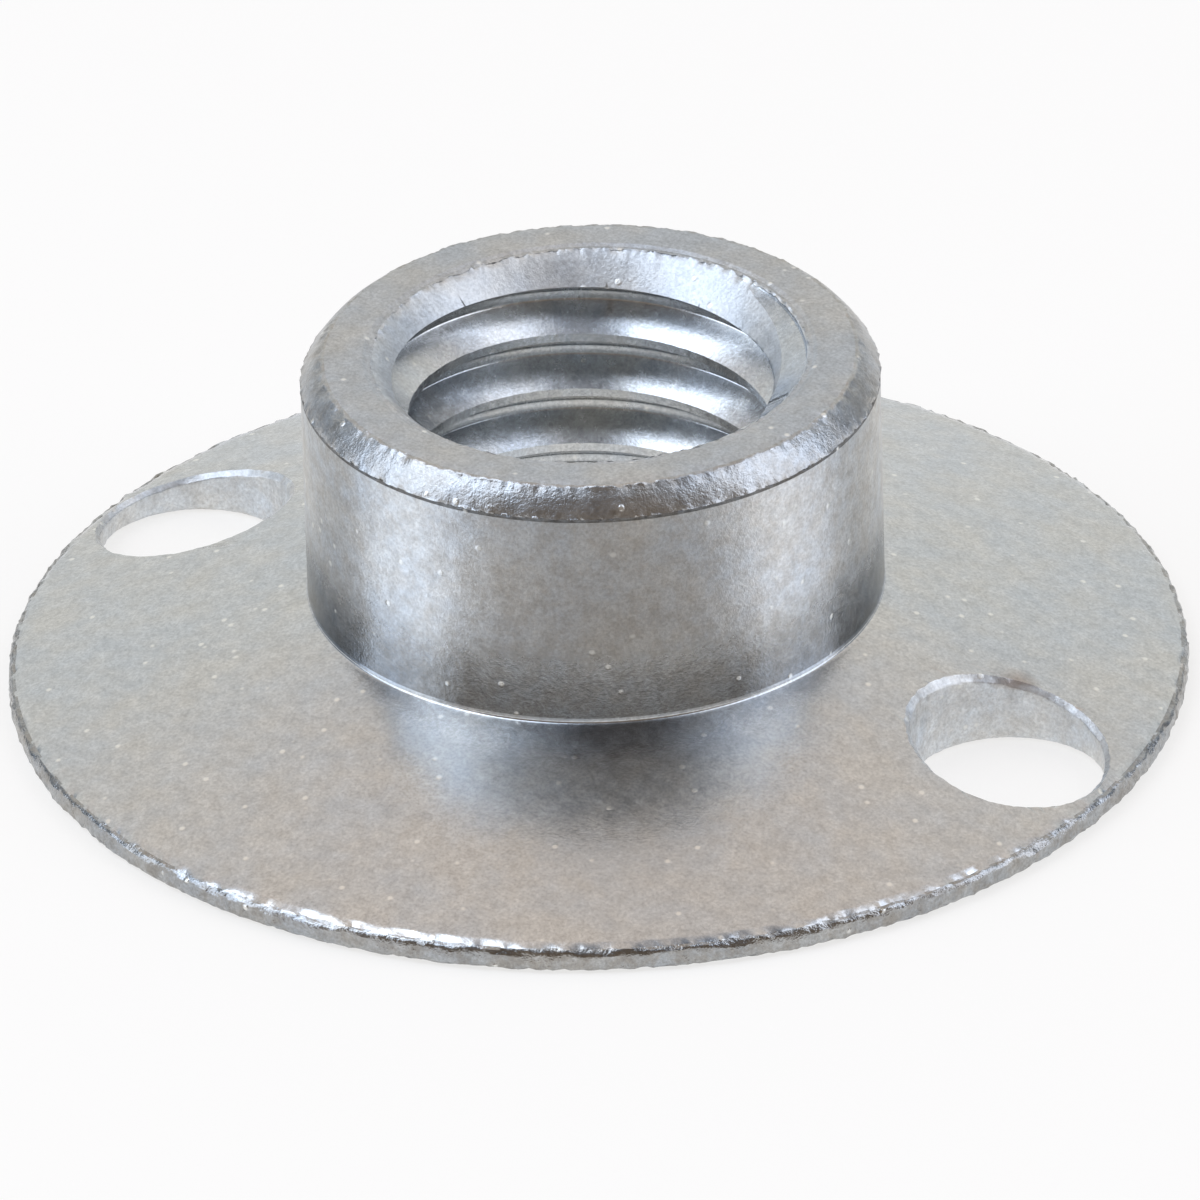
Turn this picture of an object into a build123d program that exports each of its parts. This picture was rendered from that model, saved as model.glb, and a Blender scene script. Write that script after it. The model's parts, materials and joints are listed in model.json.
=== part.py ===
"""Clamping nut, turned from one piece of steel: a threaded boss on a thin coned flange.

Millimetres. The flat wrench face lies on Z = 0, +Z runs along the bore to the mouth of the boss,
and the two wrench holes lie on the X axis.
"""
import os

from build123d import *

# Flange: a flat face below, a shallow cone above that thins towards the rim
flange_diameter = 43.5
rim_thickness = 0.9
cone_top_height = 4.0
rim_edge_chamfer = 0.12

# Boss: passes through the hole of the disc that the flange clamps
boss_diameter = 21.2
overall_height = 13.5
boss_root_fillet = 0.3
boss_chamfer_width = 0.75
boss_chamfer_height = 1.0

# Bore: drilled to the minor diameter of its thread and countersunk at both ends
thread_major_diameter = 15.875
thread_pitch = 2.309
minor_depth_share = 1.0825
countersink_clearance = 0.125
countersink_angle = 90

# Wrench holes: two, opposite each other, drilled square to the flat face between the boss and the rim
wrench_hole_count = 2
hole_to_rim_land = 0.75
hole_to_boss_land = 3.4
wrench_hole_chamfer = 0.12

# Sizes that follow from the ones above
flange_radius = flange_diameter / 2
boss_radius = boss_diameter / 2
bore_radius = (thread_major_diameter - minor_depth_share * thread_pitch) / 2
countersink_radius = (thread_major_diameter + countersink_clearance) / 2
shoulder_height = overall_height - boss_chamfer_height
wrench_hole_diameter = flange_radius - boss_radius - hole_to_rim_land - hole_to_boss_land
wrench_circle_radius = flange_radius - hole_to_rim_land - wrench_hole_diameter / 2

os.makedirs("parts", exist_ok=True)

with BuildPart() as clamping_nut:
    # Half section of the turned blank
    with BuildSketch(Plane.XZ) as section:
        with BuildLine():
            Polyline(
                (0, 0),
                (flange_radius, 0),
                (flange_radius, rim_thickness),
                (boss_radius, cone_top_height),
                (boss_radius, shoulder_height),
                (boss_radius - boss_chamfer_width, overall_height),
                (0, overall_height),
                close=True,
            )
        make_face()
        fillet(section.vertices().group_by(Axis.X)[-2].sort_by(Axis.Y)[0], boss_root_fillet)
        chamfer(section.vertices().group_by(Axis.X)[-1], rim_edge_chamfer)
    revolve(axis=Axis.Z)

    # Bore, countersunk from the mouth of the boss and from the flat face
    with Locations(Plane.XY.offset(overall_height), -Plane.XY):
        CounterSinkHole(
            bore_radius,
            countersink_radius,
            counter_sink_angle=countersink_angle,
        )

    # Wrench holes, with the edge broken where each one leaves the flat face and the cone
    with PolarLocations(wrench_circle_radius, wrench_hole_count):
        Hole(wrench_hole_diameter / 2)
    hole_rims = clamping_nut.edges(Select.LAST).filter_by(GeomType.LINE, reverse=True)
    chamfer(hole_rims, wrench_hole_chamfer)

clamping_nut.part.label = "clamping_nut"
export_step(clamping_nut.part, "parts/clamping_nut.step")
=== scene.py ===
import json
import math

import bmesh
import bpy
from mathutils import Matrix, Vector


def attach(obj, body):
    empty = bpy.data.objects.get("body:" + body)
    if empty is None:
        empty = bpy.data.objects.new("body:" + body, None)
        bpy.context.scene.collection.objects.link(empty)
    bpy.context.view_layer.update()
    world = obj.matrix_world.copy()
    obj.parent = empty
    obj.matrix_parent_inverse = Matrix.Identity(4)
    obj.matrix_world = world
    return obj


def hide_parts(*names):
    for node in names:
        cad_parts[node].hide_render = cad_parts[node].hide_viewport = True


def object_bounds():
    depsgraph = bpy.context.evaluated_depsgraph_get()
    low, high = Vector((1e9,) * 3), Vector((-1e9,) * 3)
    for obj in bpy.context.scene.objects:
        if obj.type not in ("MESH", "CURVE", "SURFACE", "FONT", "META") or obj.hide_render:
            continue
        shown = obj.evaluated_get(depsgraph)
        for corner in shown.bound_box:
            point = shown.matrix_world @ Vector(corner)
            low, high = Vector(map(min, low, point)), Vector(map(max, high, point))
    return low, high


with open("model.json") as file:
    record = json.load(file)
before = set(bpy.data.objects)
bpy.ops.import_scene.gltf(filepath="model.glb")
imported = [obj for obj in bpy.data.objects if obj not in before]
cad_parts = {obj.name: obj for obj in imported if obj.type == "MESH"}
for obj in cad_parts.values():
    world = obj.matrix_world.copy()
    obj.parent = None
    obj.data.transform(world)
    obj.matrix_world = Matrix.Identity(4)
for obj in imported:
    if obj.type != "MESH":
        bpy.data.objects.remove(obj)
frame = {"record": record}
cad_low, cad_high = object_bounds()
mm = 0.001

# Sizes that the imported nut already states
mounts = {mount["name"]: mount["dims"] for mount in frame["record"]["mounts"]}
flange_radius = cad_high.x
nut_height = cad_high.z
boss_radius = mounts["disc_collar"]["r_mm"] * mm
bore_radius = mounts["spindle_thread"]["r_mm"] * mm
wrench_circle_radius = mounts["wrench_holes"]["pcd_mm"] * mm / 2
wrench_hole_radius = mounts["wrench_holes"]["hole_r_mm"] * mm
wrench_hole_count = mounts["wrench_holes"]["count"]

# Sizes of the turned section, as in the part's source
rim_thickness = 0.9 * mm
cone_top_height = 4.0 * mm
boss_chamfer_width = 0.75 * mm
boss_chamfer_height = 1.0 * mm
countersink_radius = 8.0 * mm
countersink_depth = countersink_radius - bore_radius
cone_slope = (cone_top_height - rim_thickness) / (flange_radius - boss_radius)
mouth_height = nut_height - countersink_depth
shoulder_height = nut_height - boss_chamfer_height
ring_radius = boss_radius - boss_chamfer_width

# Thread: 5/8 inch, 11 turns to the inch, right hand, cut from below the nut to above it
thread_pitch = 2.309 * mm
thread_major_radius = 7.9375 * mm
thread_turns = 8
thread_start_height = -3.09 * mm

# Zinc has built up a ragged lip under the chamfer of the boss and a burr round the mouth
chamfer_lip = 0.07 * mm
mouth_burr = 0.07 * mm

# Wear: how far it reaches from an edge, how deep it bites and how long each bite is
wear_reach = 0.4 * mm
wear_depth = 0.1 * mm
wear_length = 0.4 * mm


def linear(hex_colour):
    """sRGB hex to the linear colour that Blender's sockets take."""
    parts = [int(hex_colour[i : i + 2], 16) / 255 for i in (1, 3, 5)]
    return tuple(c / 12.92 if c <= 0.04045 else ((c + 0.055) / 1.055) ** 2.4 for c in parts) + (1.0,)


def add(tree, kind, inputs=None, **settings):
    """Adds a node, sets its properties, and fills its inputs with values or links.

    A node given for an input links its first output.
    """
    node = tree.nodes.new(kind)
    for name, value in settings.items():
        setattr(node, name, value)
    for key, value in (inputs or {}).items():
        for item in value if isinstance(value, list) else [value]:
            source = item.outputs[0] if isinstance(item, bpy.types.Node) else item
            if isinstance(source, bpy.types.NodeSocket):
                tree.links.new(source, node.inputs[key])
            else:
                node.inputs[key].default_value = source
    return node


# Profiles that the nut is turned and cut with

def profile(name, points, closed=True):
    """A poly curve through (distance across, height, rounding, wear) points.

    Curve to Mesh lays a profile's Y downwards, so heights are turned over here.
    """
    curve = bpy.data.curves.new(name, "CURVE")
    curve.dimensions = "3D"
    spline = curve.splines.new("POLY")
    spline.points.add(len(points) - 1)
    spline.use_cyclic_u = closed
    for point, (across, height, rounding, wear) in zip(spline.points, points):
        point.co = (across, -height, 0, 1)
        point.radius = rounding
        point.tilt = wear
    item = bpy.data.objects.new(name, curve)
    bpy.context.scene.collection.objects.link(item)
    return item


# Roundings of the section's edges
bore_rounding = 0.03 * mm
mouth_rounding = 0.04 * mm
burr_rounding = 0.05 * mm
burr_foot_rounding = 0.08 * mm
ring_rounding = 0.3 * mm
lip_rounding = 0.05 * mm
root_rounding = 0.1 * mm
rim_top_rounding = 0.38 * mm
rim_bottom_rounding = 0.3 * mm
underside_rounding = 0.07 * mm

# Corners of the section, from the mouth of the bore round the outside and back through the flat face, each
# with its distance from the axis, height, rounding and share of the wear
corners = [
    (bore_radius, mouth_height, bore_rounding, 0.2),
    (countersink_radius, nut_height, mouth_rounding, 1.5),
    (countersink_radius + 2 * mouth_burr, nut_height - mouth_burr, burr_rounding, 0.3),
    (countersink_radius + 4.5 * mouth_burr, nut_height, burr_foot_rounding, 0),
    (ring_radius, nut_height, ring_rounding, 0.9),
    (boss_radius + chamfer_lip, shoulder_height, lip_rounding, 1.0),
    (boss_radius, shoulder_height - 2 * chamfer_lip, lip_rounding, 0),
    (boss_radius, cone_top_height, root_rounding, 0),
    (flange_radius, rim_thickness, rim_top_rounding, 1.3),
    (flange_radius, 0, rim_bottom_rounding, 1.1),
    (countersink_radius, 0, underside_rounding, 0.4),
    (bore_radius, countersink_depth, bore_rounding, 0.2),
]

# Rows close to each rounded edge let the wear shape it, and a few rows between carry the long runs. They
# start a little beyond the rounding, which would otherwise be held back by them.
row_steps = (0.08 * mm, 0.25 * mm, 0.5 * mm)
rounding_room_share = 1.1
long_run = 5 * mm
section = []
for here, there in zip(corners, corners[1:] + corners[:1]):
    start, end = Vector(here[:2]), Vector(there[:2])
    length = (end - start).length
    section.append(here)
    if here[0] == there[0] == bore_radius:
        continue
    after = [here[2] * rounding_room_share + step for step in row_steps]
    before = [length - there[2] * rounding_room_share - step for step in reversed(row_steps)]
    middle = [length * share for share in (0.25, 0.5, 0.75)] if length > long_run else []
    rows = [stop for stop in after if stop < length * 0.45]
    rows += middle
    rows += [stop for stop in before if stop > length * 0.55]
    for stop in rows:
        wear_from_here = here[3] * (1 - stop / wear_reach)
        wear_from_there = there[3] * (1 - (length - stop) / wear_reach)
        row = start + (end - start) * stop / length
        section.append((row.x, row.y, 0, max(wear_from_here, wear_from_there, 0)))
nut_section = profile("nut_section", section)

# Groove of the thread, drawn about the helix at the major radius. Its flanks stand a little wider than the
# standard 30 degrees, because plating has rounded the crests.
flank = math.tan(math.radians(33))
groove_depth = thread_major_radius - bore_radius + 0.25 * mm
groove_root_half = thread_pitch / 12
groove_mouth_half = groove_root_half + groove_depth * flank
groove_rounding = 0.1 * mm
groove_profile = profile(
    "groove_profile",
    [
        (-groove_depth, groove_mouth_half, 0, 0),
        (0, groove_root_half, groove_rounding, 0),
        (0, -groove_root_half, groove_rounding, 0),
        (-groove_depth, -groove_mouth_half, 0, 0),
    ],
)

# Plug that cuts a wrench hole, its lip eased where the hole leaves the cone above and the flat face below
lip = 0.19 * mm
upper_rounding = 0.16 * mm
lower_rounding = 0.1 * mm
reach = 0.9 * mm
hole_profile = profile(
    "hole_profile",
    [
        (-wrench_hole_radius, rim_thickness + reach, 0, 0),
        (lip * 2.2, rim_thickness + reach, 0, 0),
        (lip * 1.2, rim_thickness + lip * 0.25, upper_rounding, 1.2),
        (0, rim_thickness - lip, upper_rounding, 1.2),
        (0, lip, lower_rounding, 1),
        (lip * 1.2, 0, lower_rounding, 1),
        (lip * 2.2, -reach, 0, 0),
        (-wrench_hole_radius, -reach, 0, 0),
    ],
    closed=False,
)

# Zinc-plated steel: a turned steel blank, barrel plated in clear zinc. The plating gives the eye a pale
# grey metal with faint cool clouds, a fine crystal grain and a few bright specks. Each worked face keeps
# its own finish under the plating: the boss's wall keeps the lathe's fine rings, which draw each
# reflection out along the axis into streaks.

# Sizes of the plating's patterns in mm. The grain is drawn coarser than the real 0.03 mm, so that it shows.
cloud_size = 3.0
patch_size = 0.6
grain_size = 0.13
film_size = 0.7
speck_spacing = 1.1

# Heights in mm between which the boss's wall changes from its root upwards: first the painted shade that
# darkens its root, then its roughness
painted_shade_heights = (4.4, 8.5)
smooth_heights = (5.5, 8.5)

# One faint brown stain, in mm, on the upper lip of the wrench hole nearer the camera
stain_place = (16.0, 3.35, 2.38)
stain_size = (1.5, 0.9, 0.3)


def zinc_plating(
    name,
    roughness,
    shade,
    grain_relief,
    film_strength=0.0,
    lathe_streaks=0.0,
    root_roughness=None,
    root_painted_shade=1.0,
):
    """Zinc of a roughness and shade, with a grain relief in mm and some brownish film.

    Lathe streaks draw reflections out across the lathe's rings. The root values are those that the finish
    has
    at the root of the boss: a roughness, and painted shade that darkens the root.
    """
    plating = bpy.data.materials.new(name)
    plating.use_nodes = True
    tree = plating.node_tree
    tree.nodes.clear()
    place = add(tree, "ShaderNodeTexCoord").outputs["Object"]
    millimetres = add(tree, "ShaderNodeMapping", {"Vector": place, "Scale": (1000, 1000, 1000)})
    height = add(tree, "ShaderNodeSeparateXYZ", {0: millimetres}).outputs["Z"]

    # Clouds, crystal patches and grain
    clouds, patches, grain, film = (
        add(
            tree,
            "ShaderNodeTexNoise",
            {"Vector": millimetres, "Scale": 1 / size, "Detail": detail, "Roughness": unevenness},
        )
        for size, detail, unevenness in (
            (cloud_size, 3, 0.6),
            (patch_size, 4, 0.7),
            (grain_size, 2, 0.7),
            (film_size, 4, 0.75),
        )
    )
    tint = add(tree, "ShaderNodeValToRGB", {"Fac": clouds})
    for stop, (at, colour) in zip(tint.color_ramp.elements, ((0.35, "#c1c6cb"), (0.65, "#c8c8c6"))):
        stop.position = at
        stop.color = linear(colour)

    # Brownish film over the clouds, in patches
    film = add(
        tree,
        "ShaderNodeMapRange",
        {"Value": film, "From Min": 0.4, "From Max": 0.62, "To Max": film_strength},
    )
    filmed = add(
        tree,
        "ShaderNodeMix",
        {0: film, 6: tint, 7: linear("#9c9284")},
        data_type="RGBA",
    ).outputs[2]

    # Stain, strongest in its middle
    stain = add(
        tree,
        "ShaderNodeMapping",
        {"Vector": millimetres, "Location": stain_place, "Scale": stain_size},
        vector_type="TEXTURE",
    )
    stain = add(tree, "ShaderNodeVectorMath", {0: stain}, operation="LENGTH").outputs["Value"]
    stain = add(
        tree,
        "ShaderNodeMapRange",
        {"Value": stain, "From Min": 1.0, "From Max": 0.2, "To Max": 0.5},
    )
    stained = add(
        tree,
        "ShaderNodeMix",
        {0: stain, 6: filmed, 7: linear("#8a7058")},
        data_type="RGBA",
    ).outputs[2]

    # Shade of the patches and the grain, with painted shade that darkens the root of the boss where a
    # finish asks for it
    patch_shade = add(
        tree,
        "ShaderNodeMapRange",
        {"Value": patches, "From Min": 0.3, "From Max": 0.7, "To Min": 0.88 * shade, "To Max": 1.1 * shade},
    )
    grain_shade = add(
        tree,
        "ShaderNodeMapRange",
        {"Value": grain, "From Min": 0.3, "From Max": 0.7, "To Min": 0.84, "To Max": 1.14},
    )
    # Painted shade: the boss's wall is darkened from its root upwards
    painted_root_shade = add(
        tree,
        "ShaderNodeMapRange",
        {
            "Value": height,
            "From Min": painted_shade_heights[0],
            "From Max": painted_shade_heights[1],
            "To Min": root_painted_shade,
            "To Max": 1.0,
        },
        interpolation_type="SMOOTHSTEP",
    )
    mottle = add(tree, "ShaderNodeMath", {0: patch_shade, 1: grain_shade}, operation="MULTIPLY")
    mottle = add(tree, "ShaderNodeMath", {0: mottle, 1: painted_root_shade}, operation="MULTIPLY")
    shaded = add(tree, "ShaderNodeVectorMath", {0: stained, "Scale": mottle}, operation="SCALE")

    # Specks: knobs of zinc 0.25 mm across
    specks = add(
        tree,
        "ShaderNodeTexVoronoi",
        {"Vector": millimetres, "Scale": 1 / speck_spacing, "Randomness": 1.0},
    )
    specks = add(
        tree,
        "ShaderNodeMapRange",
        {"Value": specks, "From Min": 0.14, "From Max": 0.05, "To Max": 0.85},
        interpolation_type="SMOOTHSTEP",
    )
    speckled = add(
        tree,
        "ShaderNodeMix",
        {0: specks, 6: shaded, 7: linear("#f0f0ec")},
        data_type="RGBA",
    ).outputs[2]

    # Roughness, uneven with the patches, and smoother towards the root of the boss where a finish says so
    settled = add(
        tree,
        "ShaderNodeMapRange",
        {
            "Value": height,
            "From Min": smooth_heights[0],
            "From Max": smooth_heights[1],
            "To Min": roughness if root_roughness is None else root_roughness,
            "To Max": roughness,
        },
        interpolation_type="SMOOTHSTEP",
    )
    uneven = add(
        tree,
        "ShaderNodeMapRange",
        {"Value": patches, "From Min": 0.3, "From Max": 0.7, "To Min": -0.04, "To Max": 0.04},
    )
    uneven = add(tree, "ShaderNodeMath", {0: settled, 1: uneven}, operation="ADD")

    # Relief of the grain and the specks
    relief = add(tree, "ShaderNodeMath", {0: specks, 1: 1.2, 2: grain}, operation="MULTIPLY_ADD")
    relief = add(tree, "ShaderNodeBump", {"Height": relief, "Strength": 1.0, "Distance": grain_relief * mm})
    round_the_axis = add(tree, "ShaderNodeTangent", direction_type="RADIAL", axis="Z")
    shader = add(
        tree,
        "ShaderNodeBsdfPrincipled",
        {
            "Base Color": speckled,
            "Metallic": 1.0,
            "Roughness": uneven,
            "Anisotropic": lathe_streaks,
            "Anisotropic Rotation": 0.25,
            "Normal": relief,
            "Tangent": round_the_axis,
        },
    )
    add(tree, "ShaderNodeOutputMaterial", {"Surface": shader})
    return plating


flange_zinc = zinc_plating("zinc_plated_steel_satin", 0.21, 1.05, 0.003)
rim_zinc = zinc_plating("zinc_plated_steel_rim", 0.2, 0.76, 0.03, film_strength=0.5)
faced_zinc = zinc_plating("zinc_plated_steel_faced", 0.5, 0.94, 0.02)
# Painted light: the countersink is a copy of the faced zinc, lifted brighter
countersunk_zinc = zinc_plating("zinc_plated_steel_countersunk", 0.46, 1.12, 0.015)
chamfer_zinc = zinc_plating("zinc_plated_steel_chamfered", 0.32, 0.9, 0.022, film_strength=0.4)
# Painted shade: a dark band on the underside of the chamfer's lip
lip_painted_shade_zinc = zinc_plating("zinc_plated_steel_lip_painted_shade", 0.5, 0.4, 0.02, film_strength=0.6)
wall_zinc = zinc_plating(
    "zinc_plated_steel_turned",
    0.43,
    1.2,
    0.014,
    film_strength=0.35,
    lathe_streaks=0.97,
    root_roughness=0.22,
    # painted shade: the root of the wall is darkened to about half
    root_painted_shade=0.48,
)
# Painted light: the tapped bore is lifted well above plain zinc, where little light reaches into it
thread_zinc = zinc_plating("zinc_plated_steel_tapped", 0.25, 1.25, 0.003)
# Painted light: the walls of the wrench holes are lifted brightest of all the finishes
drilled_zinc = zinc_plating("zinc_plated_steel_drilled", 0.5, 1.3, 0.015, film_strength=0.25)

# Worked faces of the blank, each with its finish and the distances from the axis and the heights that it
# lies between. Where two of them overlap, the later one holds.
past = 0.1 * mm
edge_band = 0.15 * mm
root_band = 0.25 * mm
rim_band = 0.3 * mm
lip_height = shoulder_height - 2 * chamfer_lip
worked_faces = (
    (rim_zinc, flange_radius - rim_band, flange_radius + past, -past, rim_thickness),
    (wall_zinc, ring_radius, boss_radius + edge_band, cone_top_height + root_band, lip_height),
    (chamfer_zinc, ring_radius - edge_band, boss_radius + edge_band, lip_height, nut_height + past),
    # painted shade under the chamfer's lip
    (lip_painted_shade_zinc, ring_radius, boss_radius + edge_band, lip_height, shoulder_height),
    (faced_zinc, 0, ring_radius - edge_band, mouth_height, nut_height + past),
    (countersunk_zinc, 0, countersink_radius, mouth_height, nut_height + past),
    (thread_zinc, 0, countersink_radius, -past, mouth_height),
)

# The nut: its section turned about the axis and worn at the edges, then the thread and the wrench holes cut
nodes = bpy.data.node_groups.new("turned_nut", "GeometryNodeTree")
nodes.interface.new_socket("Geometry", in_out="OUTPUT", socket_type="NodeSocketGeometry")
nut_inputs = {
    "Nut Section": ("Object", nut_section),
    "Groove Profile": ("Object", groove_profile),
    "Hole Profile": ("Object", hole_profile),
    "Columns": ("Int", 640),
    "Groove Columns": ("Int", 234),
    "Hole Columns": ("Int", 160),
    "Turning Radius": ("Float", boss_radius),
    "Flange Radius": ("Float", flange_radius),
    "Rim Thickness": ("Float", rim_thickness),
    "Cone Slope": ("Float", cone_slope),
    "Thread Pitch": ("Float", thread_pitch),
    "Thread Major Radius": ("Float", thread_major_radius),
    "Thread Turns": ("Int", thread_turns),
    "Thread Start Height": ("Float", thread_start_height),
    "Hole Count": ("Int", wrench_hole_count),
    "Hole Circle Radius": ("Float", wrench_circle_radius),
    "Hole Radius": ("Float", wrench_hole_radius),
    "Wear Depth": ("Float", wear_depth),
    "Wear Length": ("Float", wear_length),
    "Wear Seed": ("Int", 7),
    "Merge Reach": ("Float", 0.002 * mm),
    "Sharp Angle": ("Float", math.radians(32)),
    "Flange Finish": ("Material", flange_zinc),
    "Thread Finish": ("Material", thread_zinc),
    "Hole Finish": ("Material", drilled_zinc),
}
for name, (kind, _) in nut_inputs.items():
    nodes.interface.new_socket(name, in_out="INPUT", socket_type="NodeSocket" + kind)
given = add(nodes, "NodeGroupInput").outputs

# Distance of each point or face from the axis, its height, its outward direction and its profile's marks
spot = add(nodes, "GeometryNodeInputPosition")
spot_height = add(nodes, "ShaderNodeSeparateXYZ", {0: spot}).outputs["Z"]
spot_radius = add(nodes, "ShaderNodeVectorMath", {0: spot, 1: (1, 1, 0)}, operation="MULTIPLY")
spot_radius = add(nodes, "ShaderNodeVectorMath", {0: spot_radius}, operation="LENGTH").outputs["Value"]
outward = add(nodes, "GeometryNodeInputNormal")
rounding = add(nodes, "GeometryNodeInputRadius")
wear_mark = add(nodes, "GeometryNodeInputCurveTilt")

# Wear: noise along the edges, always inwards, on the points whose profile says so
noise_scale = add(nodes, "ShaderNodeMath", {0: 1.0, 1: given["Wear Length"]}, operation="DIVIDE")
noise = add(
    nodes,
    "ShaderNodeTexNoise",
    {"Vector": spot, "W": given["Wear Seed"], "Scale": noise_scale, "Detail": 2, "Roughness": 0.6},
    noise_dimensions="4D",
)
bite = add(
    nodes,
    "ShaderNodeMapRange",
    {"Value": noise, "From Min": 0.35, "From Max": 0.7, "To Min": -1, "To Max": 0},
)
bite_depth = add(nodes, "ShaderNodeMath", {0: bite, 1: given["Wear Depth"]}, operation="MULTIPLY")

# Blank
section_curve = add(nodes, "GeometryNodeObjectInfo", {"Object": given["Nut Section"]}).outputs["Geometry"]
marked = add(nodes, "GeometryNodeCaptureAttribute", {0: section_curve}, domain="POINT")
marked.capture_items.new("FLOAT", "Wear")
nodes.links.new(wear_mark.outputs[0], marked.inputs[1])
eased = add(
    nodes,
    "GeometryNodeFilletCurve",
    {"Curve": marked, "Count": 5, "Radius": rounding, "Limit Radius": True},
    mode="POLY",
)
to_circle = add(nodes, "ShaderNodeMath", {0: given["Turning Radius"], 1: -1.0}, operation="MULTIPLY")
to_circle = add(nodes, "ShaderNodeCombineXYZ", {"X": to_circle})
eased = add(nodes, "GeometryNodeTransform", {"Geometry": eased, "Translation": to_circle})
lathe = add(
    nodes,
    "GeometryNodeCurvePrimitiveCircle",
    {"Resolution": given["Columns"], "Radius": given["Turning Radius"]},
)
blank = add(nodes, "GeometryNodeCurveToMesh", {"Curve": lathe, "Profile Curve": eased})
blank = add(nodes, "GeometryNodeMergeByDistance", {"Geometry": blank, "Distance": given["Merge Reach"]})
worn = add(nodes, "ShaderNodeMath", {0: bite_depth, 1: marked.outputs[1]}, operation="MULTIPLY")
worn = add(nodes, "ShaderNodeVectorMath", {0: outward, "Scale": worn}, operation="SCALE")
blank = add(nodes, "GeometryNodeSetPosition", {"Geometry": blank, "Offset": worn})

# Thread groove along a right-hand helix
thread_height = add(
    nodes,
    "ShaderNodeMath",
    {0: given["Thread Turns"], 1: given["Thread Pitch"]},
    operation="MULTIPLY",
)
helix = add(
    nodes,
    "GeometryNodeCurveSpiral",
    {
        "Resolution": given["Groove Columns"],
        "Rotations": given["Thread Turns"],
        "Start Radius": given["Thread Major Radius"],
        "End Radius": given["Thread Major Radius"],
        "Height": thread_height,
        "Reverse": True,
    },
)
helix = add(nodes, "GeometryNodeSetCurveNormal", {"Curve": helix}, mode="Z_UP")
groove_curve = add(nodes, "GeometryNodeObjectInfo", {"Object": given["Groove Profile"]}).outputs["Geometry"]
groove_curve = add(
    nodes,
    "GeometryNodeFilletCurve",
    {"Curve": groove_curve, "Count": 2, "Radius": rounding, "Limit Radius": True},
    mode="POLY",
)
groove = add(
    nodes,
    "GeometryNodeCurveToMesh",
    {"Curve": helix, "Profile Curve": groove_curve, "Fill Caps": True},
)
thread_lift = add(nodes, "ShaderNodeCombineXYZ", {"Z": given["Thread Start Height"]})
groove = add(nodes, "GeometryNodeTransform", {"Geometry": groove, "Translation": thread_lift})
groove = add(nodes, "GeometryNodeMergeByDistance", {"Geometry": groove, "Distance": given["Merge Reach"]})

# Wrench holes: one plug on each point, its upper rows lifted onto the cone
hole_curve = add(nodes, "GeometryNodeObjectInfo", {"Object": given["Hole Profile"]}).outputs["Geometry"]
hole_marked = add(nodes, "GeometryNodeCaptureAttribute", {0: hole_curve}, domain="POINT")
hole_marked.capture_items.new("FLOAT", "Wear")
nodes.links.new(wear_mark.outputs[0], hole_marked.inputs[1])
hole_curve = add(
    nodes,
    "GeometryNodeFilletCurve",
    {"Curve": hole_marked, "Count": 4, "Radius": rounding, "Limit Radius": True},
    mode="POLY",
)
hole_ring = add(
    nodes,
    "GeometryNodeCurvePrimitiveCircle",
    {"Resolution": given["Hole Columns"], "Radius": given["Hole Radius"]},
)
plug = add(nodes, "GeometryNodeCurveToMesh", {"Curve": hole_ring, "Profile Curve": hole_curve})
first_hole = add(nodes, "ShaderNodeCombineXYZ", {"X": given["Hole Circle Radius"]})
to_next = add(nodes, "ShaderNodeVectorMath", {0: first_hole, 1: (-2, 0, 0)}, operation="MULTIPLY")
hole_points = add(
    nodes,
    "GeometryNodeMeshLine",
    {"Count": given["Hole Count"], "Start Location": first_hole, "Offset": to_next},
)
plugs = add(nodes, "GeometryNodeInstanceOnPoints", {"Points": hole_points, "Instance": plug})
plugs = add(nodes, "GeometryNodeRealizeInstances", {"Geometry": plugs})
plugs = add(nodes, "GeometryNodeMergeByDistance", {"Geometry": plugs, "Distance": given["Merge Reach"]})
inside_rim = add(nodes, "ShaderNodeMath", {0: given["Flange Radius"], 1: spot_radius}, operation="SUBTRACT")
lift = add(nodes, "ShaderNodeMath", {0: inside_rim, 1: given["Cone Slope"]}, operation="MULTIPLY")
lift = add(nodes, "ShaderNodeCombineXYZ", {"Z": lift})
half_rim = add(nodes, "ShaderNodeMath", {0: given["Rim Thickness"], 1: 0.5}, operation="MULTIPLY")
upper_rows = add(
    nodes,
    "FunctionNodeCompare",
    {0: spot_height, 1: half_rim},
    data_type="FLOAT",
    operation="GREATER_THAN",
)
plugs = add(nodes, "GeometryNodeSetPosition", {"Geometry": plugs, "Selection": upper_rows, "Offset": lift})

# The lips of the holes wear half as deep, and a plug wears outwards
lip_wear = add(nodes, "ShaderNodeMath", {0: bite_depth, 1: hole_marked.outputs[1]}, operation="MULTIPLY")
lip_wear = add(nodes, "ShaderNodeMath", {0: lip_wear, 1: -0.5}, operation="MULTIPLY")
lip_wear = add(nodes, "ShaderNodeVectorMath", {0: outward, "Scale": lip_wear}, operation="SCALE")
plugs = add(nodes, "GeometryNodeSetPosition", {"Geometry": plugs, "Offset": lip_wear})

# The faces that the thread and the holes cut are marked, so that they can take their own finish
tapped = add(nodes, "GeometryNodeCaptureAttribute", {0: groove}, domain="FACE")
tapped.capture_items.new("BOOLEAN", "Tapped")
tapped.inputs[1].default_value = True
drilled = add(nodes, "GeometryNodeCaptureAttribute", {0: plugs}, domain="FACE")
drilled.capture_items.new("BOOLEAN", "Drilled")
drilled.inputs[1].default_value = True

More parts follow.
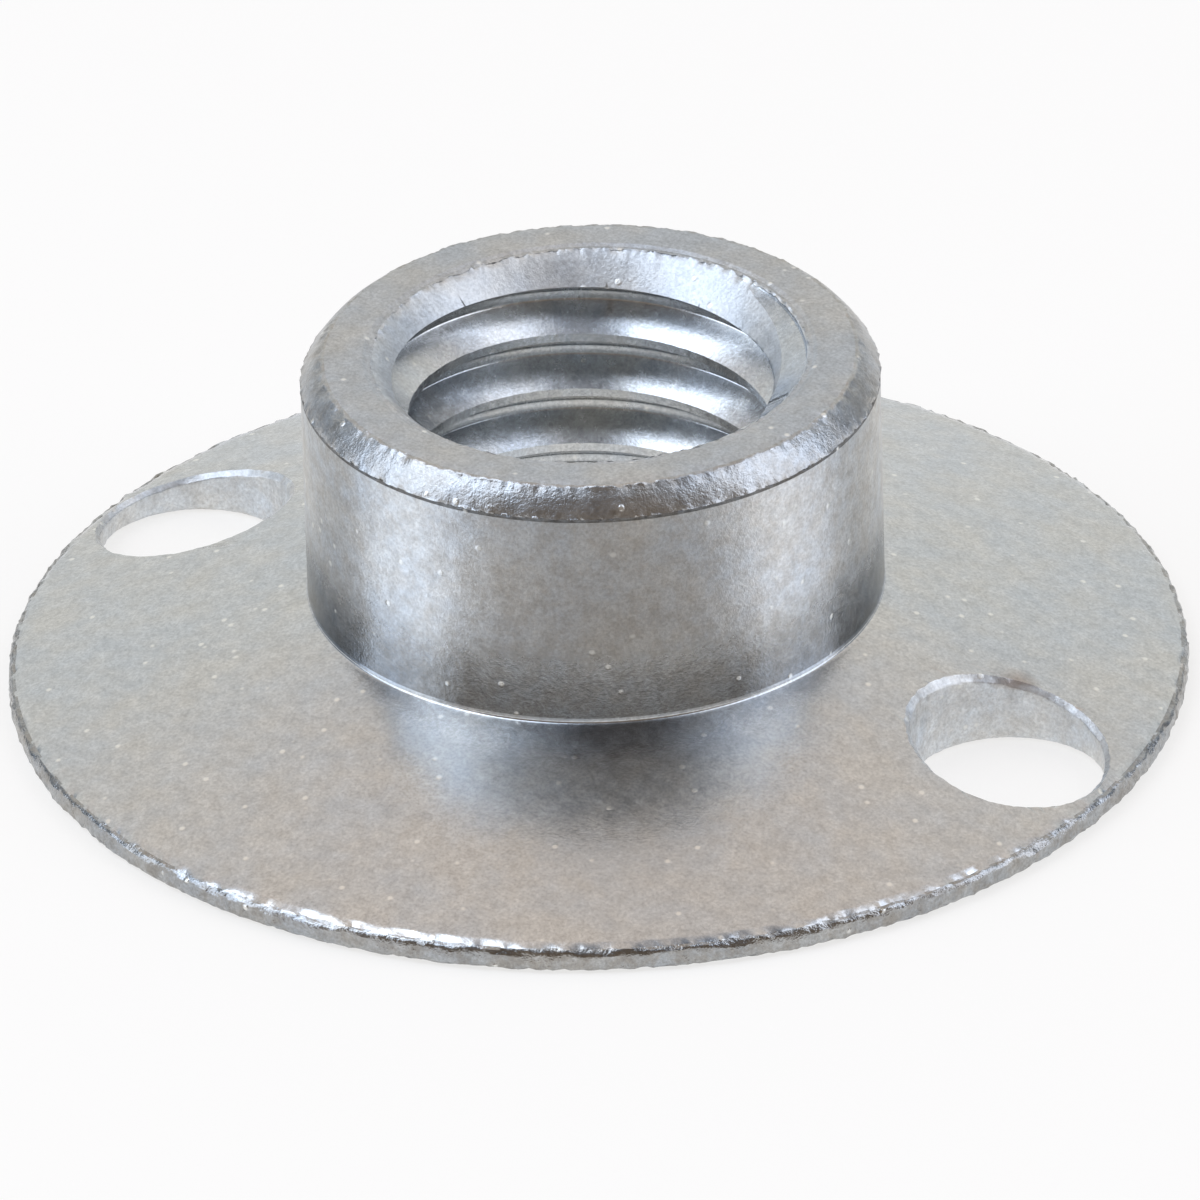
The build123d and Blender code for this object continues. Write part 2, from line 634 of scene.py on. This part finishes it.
# Cut, smooth the faces and keep the real edges sharp
cutters = add(nodes, "GeometryNodeJoinGeometry", {0: [tapped, drilled]})
cut = add(
    nodes,
    "GeometryNodeMeshBoolean",
    {"Mesh 1": blank, "Mesh 2": cutters},
    operation="DIFFERENCE",
    solver="MANIFOLD",
)
edge_angle = add(nodes, "GeometryNodeInputMeshEdgeAngle")
sharp = add(
    nodes,
    "FunctionNodeCompare",
    {0: edge_angle, 1: given["Sharp Angle"]},
    data_type="FLOAT",
    operation="GREATER_THAN",
)
cut = add(nodes, "GeometryNodeSetShadeSmooth", {"Geometry": cut, "Shade Smooth": True}, domain="FACE")
cut = add(
    nodes,
    "GeometryNodeSetShadeSmooth",
    {"Geometry": cut, "Selection": sharp, "Shade Smooth": False},
    domain="EDGE",
)
cut = add(nodes, "GeometryNodeRealizeInstances", {"Geometry": cut})

# Each worked face takes its finish, the cut faces last
cut = add(nodes, "GeometryNodeSetMaterial", {"Geometry": cut, "Material": given["Flange Finish"]})
for finish, inner, outer, bottom, top in worked_faces:
    between = add(
        nodes,
        "FunctionNodeCompare",
        {0: spot_radius, 1: (inner + outer) / 2, "Epsilon": (outer - inner) / 2},
        data_type="FLOAT",
        operation="EQUAL",
    )
    level_with = add(
        nodes,
        "FunctionNodeCompare",
        {0: spot_height, 1: (bottom + top) / 2, "Epsilon": (top - bottom) / 2},
        data_type="FLOAT",
        operation="EQUAL",
    )
    worked = add(nodes, "FunctionNodeBooleanMath", {0: between, 1: level_with}, operation="AND")
    cut = add(nodes, "GeometryNodeSetMaterial", {"Geometry": cut, "Selection": worked, "Material": finish})
for mark, finish in ((tapped, "Thread Finish"), (drilled, "Hole Finish")):
    cut = add(
        nodes,
        "GeometryNodeSetMaterial",
        {"Geometry": cut, "Selection": mark.outputs[1], "Material": given[finish]},
    )
add(nodes, "NodeGroupOutput", {0: cut})

nut = bpy.data.objects.new("nut", bpy.data.meshes.new("nut"))
bpy.context.scene.collection.objects.link(nut)
maker = nut.modifiers.new("turned_nut", "NODES")
maker.node_group = nodes
for socket in nodes.interface.items_tree:
    if socket.in_out == "INPUT":
        maker[socket.identifier] = nut_inputs[socket.name][1]
made = bpy.data.meshes.new_from_object(nut.evaluated_get(bpy.context.evaluated_depsgraph_get()))
nut.modifiers.clear()
nut.data = made

# Slivers that the cutting leaves are dissolved
sliver = 0.003 * mm
cleaned = bmesh.new()
cleaned.from_mesh(made)
bmesh.ops.dissolve_degenerate(cleaned, dist=sliver, edges=cleaned.edges)
cleaned.to_mesh(made)
cleaned.free()
for drawn in (nut_section, groove_profile, hole_profile):
    bpy.data.objects.remove(drawn)
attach(nut, "root")
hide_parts("clamping_nut")

# Camera at the photograph's angle: a long lens, 30 degrees above the floor, turned 32 degrees from the line
# of the wrench holes and rolled a little
camera_turn = math.radians(32.18)
camera_rise = math.radians(29.749)
camera_roll = math.radians(-1.626)
camera_distance = 880 * mm
aim_aside = 0.1211 * mm
aim_height = 3.0869 * mm
level = Vector((math.cos(camera_turn), math.sin(camera_turn), 0))
towards_camera = Vector((math.sin(camera_turn), -math.cos(camera_turn), 0))
back = towards_camera * math.cos(camera_rise) + Vector((0, 0, math.sin(camera_rise)))
upright = back.cross(level)
side = level * math.cos(camera_roll) + upright * math.sin(camera_roll)
top = upright * math.cos(camera_roll) - level * math.sin(camera_roll)
camera = bpy.data.objects.new("camera", bpy.data.cameras.new("camera"))
camera.data.lens = 718.86
camera.data.sensor_width = 36
camera.data.clip_start = 0.1
camera.data.clip_end = 10
camera.matrix_world = Matrix((side, top, back)).transposed().to_4x4()
camera.location = level * aim_aside + Vector((0, 0, aim_height)) + back * camera_distance
bpy.context.scene.collection.objects.link(camera)
bpy.context.scene.camera = camera

# Stage: a pale paper floor, just clear of the flat face. The camera and the metal's reflections see it
# nearly white, and it keeps the shadow.
paper = bpy.data.materials.new("white_paper")
paper.use_nodes = True
tree = paper.node_tree
tree.nodes.clear()
ray = add(tree, "ShaderNodeLightPath").outputs
seen = add(tree, "ShaderNodeMath", {0: ray["Is Camera Ray"], 1: ray["Is Glossy Ray"]}, operation="ADD")
seen = add(tree, "ShaderNodeMath", {0: seen, 1: ray["Is Transmission Ray"]}, operation="ADD")
whiteness = add(tree, "ShaderNodeMath", {0: seen, 1: 0.7}, operation="MULTIPLY")
matt = add(tree, "ShaderNodeBsdfDiffuse", {"Color": linear("#fdf8f1")})
white = add(tree, "ShaderNodeEmission", {"Color": linear("#ffffff"), "Strength": 1.0})
sheet = add(tree, "ShaderNodeMixShader", {0: whiteness, 1: matt, 2: white})
add(tree, "ShaderNodeOutputMaterial", {"Surface": sheet})
floor_half = 3
floor_drop = -0.00002
floor_mesh = bpy.data.meshes.new("floor")
floor_mesh.from_pydata(
    [
        (-floor_half, -floor_half, floor_drop),
        (floor_half, -floor_half, floor_drop),
        (floor_half, floor_half, floor_drop),
        (-floor_half, floor_half, floor_drop),
    ],
    [],
    [(0, 1, 2, 3)],
)
floor = bpy.data.objects.new("floor", floor_mesh)
floor.data.materials.append(paper)
bpy.context.scene.collection.objects.link(floor)

# Light: two softboxes on each side, placed in degrees by their turn from the camera and their rise, with
# their width, height and brightness
softbox_distance = 0.8
for name, turn, rise, wide, tall, brightness, colour in (
    ("left_panel", -80, 24, 0.56, 0.75, 2.2, "#e4efff"),
    ("left_top_panel", -78, 63, 0.44, 0.52, 3.0, "#e4efff"),
    ("right_panel", 82, 24, 0.56, 0.75, 1.85, "#ecf2ff"),
    ("right_top_panel", 80, 58, 0.44, 0.4, 1.5, "#e8f0ff"),
):
    heading = camera_turn - math.pi / 2 + math.radians(turn)
    lift_angle = math.radians(rise)
    aim = Vector((math.cos(heading), math.sin(heading), 0)) * math.cos(lift_angle)
    aim.z = math.sin(lift_angle)
    lamp = bpy.data.lights.new(name, "AREA")
    lamp.shape = "RECTANGLE"
    lamp.size = wide
    lamp.size_y = tall
    lamp.energy = brightness * math.pi * wide * tall
    lamp.color = linear(colour)[:3]
    softbox = bpy.data.objects.new(name, lamp)
    softbox.rotation_euler = aim.to_track_quat("Z", "Y").to_euler()
    softbox.location = aim * softbox_distance
    softbox.visible_camera = False
    bpy.context.scene.collection.objects.link(softbox)

# Room: brightest high up behind the nut, dim and warm on the camera's side, with a faintly warm ceiling
room = bpy.data.worlds.new("room")
bpy.context.scene.world = room
room.use_nodes = True
tree = room.node_tree
tree.nodes.clear()
look = add(tree, "ShaderNodeTexCoord").outputs["Generated"]
brightest = towards_camera * -0.77 + Vector((0, 0, 0.64))
towards = add(tree, "ShaderNodeVectorMath", {0: look, 1: brightest}, operation="DOT_PRODUCT")
towards = add(
    tree,
    "ShaderNodeMapRange",
    {"Value": towards.outputs["Value"], "From Min": -1, "From Max": 1},
)
walls = add(tree, "ShaderNodeValToRGB", {"Fac": towards})
wall_colours = ((0, "#82756a"), (0.4, "#887c70"), (0.66, "#6a727c"), (0.8, "#9199a3"), (0.9, "#ecece9"))
while len(walls.color_ramp.elements) < len(wall_colours):
    walls.color_ramp.elements.new(0.5)
for wall, (at, colour) in zip(walls.color_ramp.elements, wall_colours):
    wall.position = at
    wall.color = linear(colour)
look_height = add(tree, "ShaderNodeSeparateXYZ", {0: look}).outputs["Z"]
ceiling = add(tree, "ShaderNodeMapRange", {"Value": look_height, "From Min": 0.5, "From Max": 0.85})
room_tint = add(
    tree,
    "ShaderNodeMix",
    {0: ceiling, 6: walls, 7: linear("#fbefe9")},
    data_type="RGBA",
    blend_type="MULTIPLY",
).outputs[2]
background = add(tree, "ShaderNodeBackground", {"Color": room_tint, "Strength": 1.0})
add(tree, "ShaderNodeOutputWorld", {"Surface": background})

bpy.context.scene.view_settings.view_transform = "Standard"
